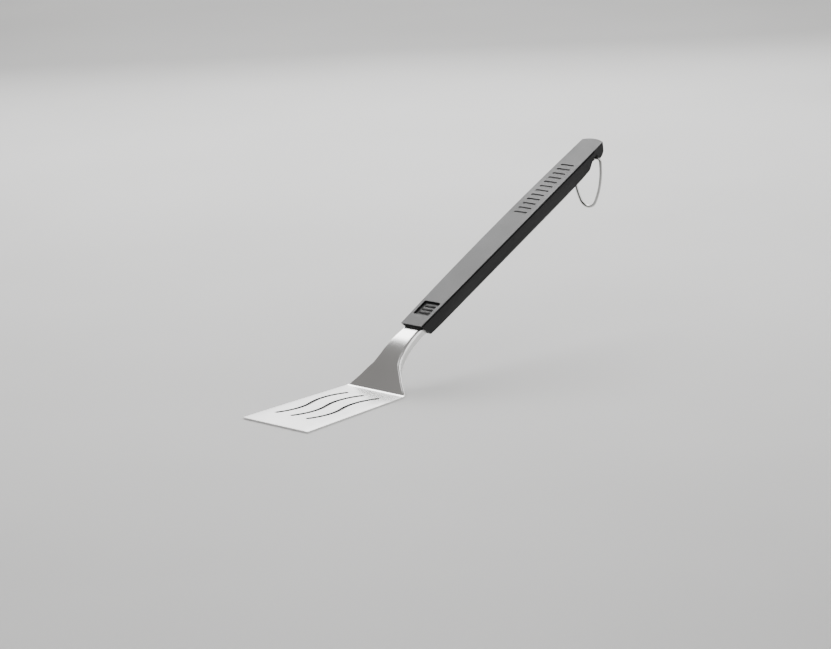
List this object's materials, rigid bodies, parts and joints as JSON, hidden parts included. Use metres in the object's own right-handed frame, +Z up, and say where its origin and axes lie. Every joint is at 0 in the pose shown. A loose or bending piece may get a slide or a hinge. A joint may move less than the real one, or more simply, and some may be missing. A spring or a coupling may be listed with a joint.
{
  "type": "grill spatula",
  "caption": "Long-handled slotted grill turner: a flat stainless blade on a bent, flanged neck in a black bowed grip, with a wire hanging loop that swings under the end.",
  "frame": {"origin": "on the blade's flat underside, on the centreline, 10 mm ahead of the line where the neck bends up", "axes": "+X from the blade towards the handle's end, +Z up from the surface the blade lies flat on, +Y to the left of someone who stands at the blade and looks along +X"},
  "size_m": [0.4372, 0.079, 0.1723],
  "materials": {
    "stainless": "satin, brushed along the blade",
    "wire_steel": "bright drawn wire",
    "fastener_steel": "plain machined",
    "grip_plastic": "matt black with a fine moulded grain",
    "cover_plastic": "matt black with a fine moulded grain",
    "cap_plastic": "matt black with a fine moulded grain",
    "collar_plastic": "matt black",
    "core_plastic": "plain moulded nylon",
    "badge_plastic": "matt black, darker than the cover"
  },
  "bodies": {
    "spatula": {"blade_head": "stainless", "neck_collar": "collar_plastic", "grip_core": "core_plastic", "tang_rivets": "fastener_steel", "grip_shell": "grip_plastic", "top_cover": "cover_plastic", "badge_plate": "badge_plastic", "end_cap": "cap_plastic", "cap_screw": "fastener_steel", "cover_screws": "fastener_steel"},
    "loop": {"hang_loop": "wire_steel"}
  },
  "joints": [
    {"name": "loop_swing", "type": "hinge", "parent": "spatula", "child": "loop", "pos_m": [0.3079, 0, 0.15706], "axis": [0, 1, 0], "range_deg": [-265, 48]}
  ]
}
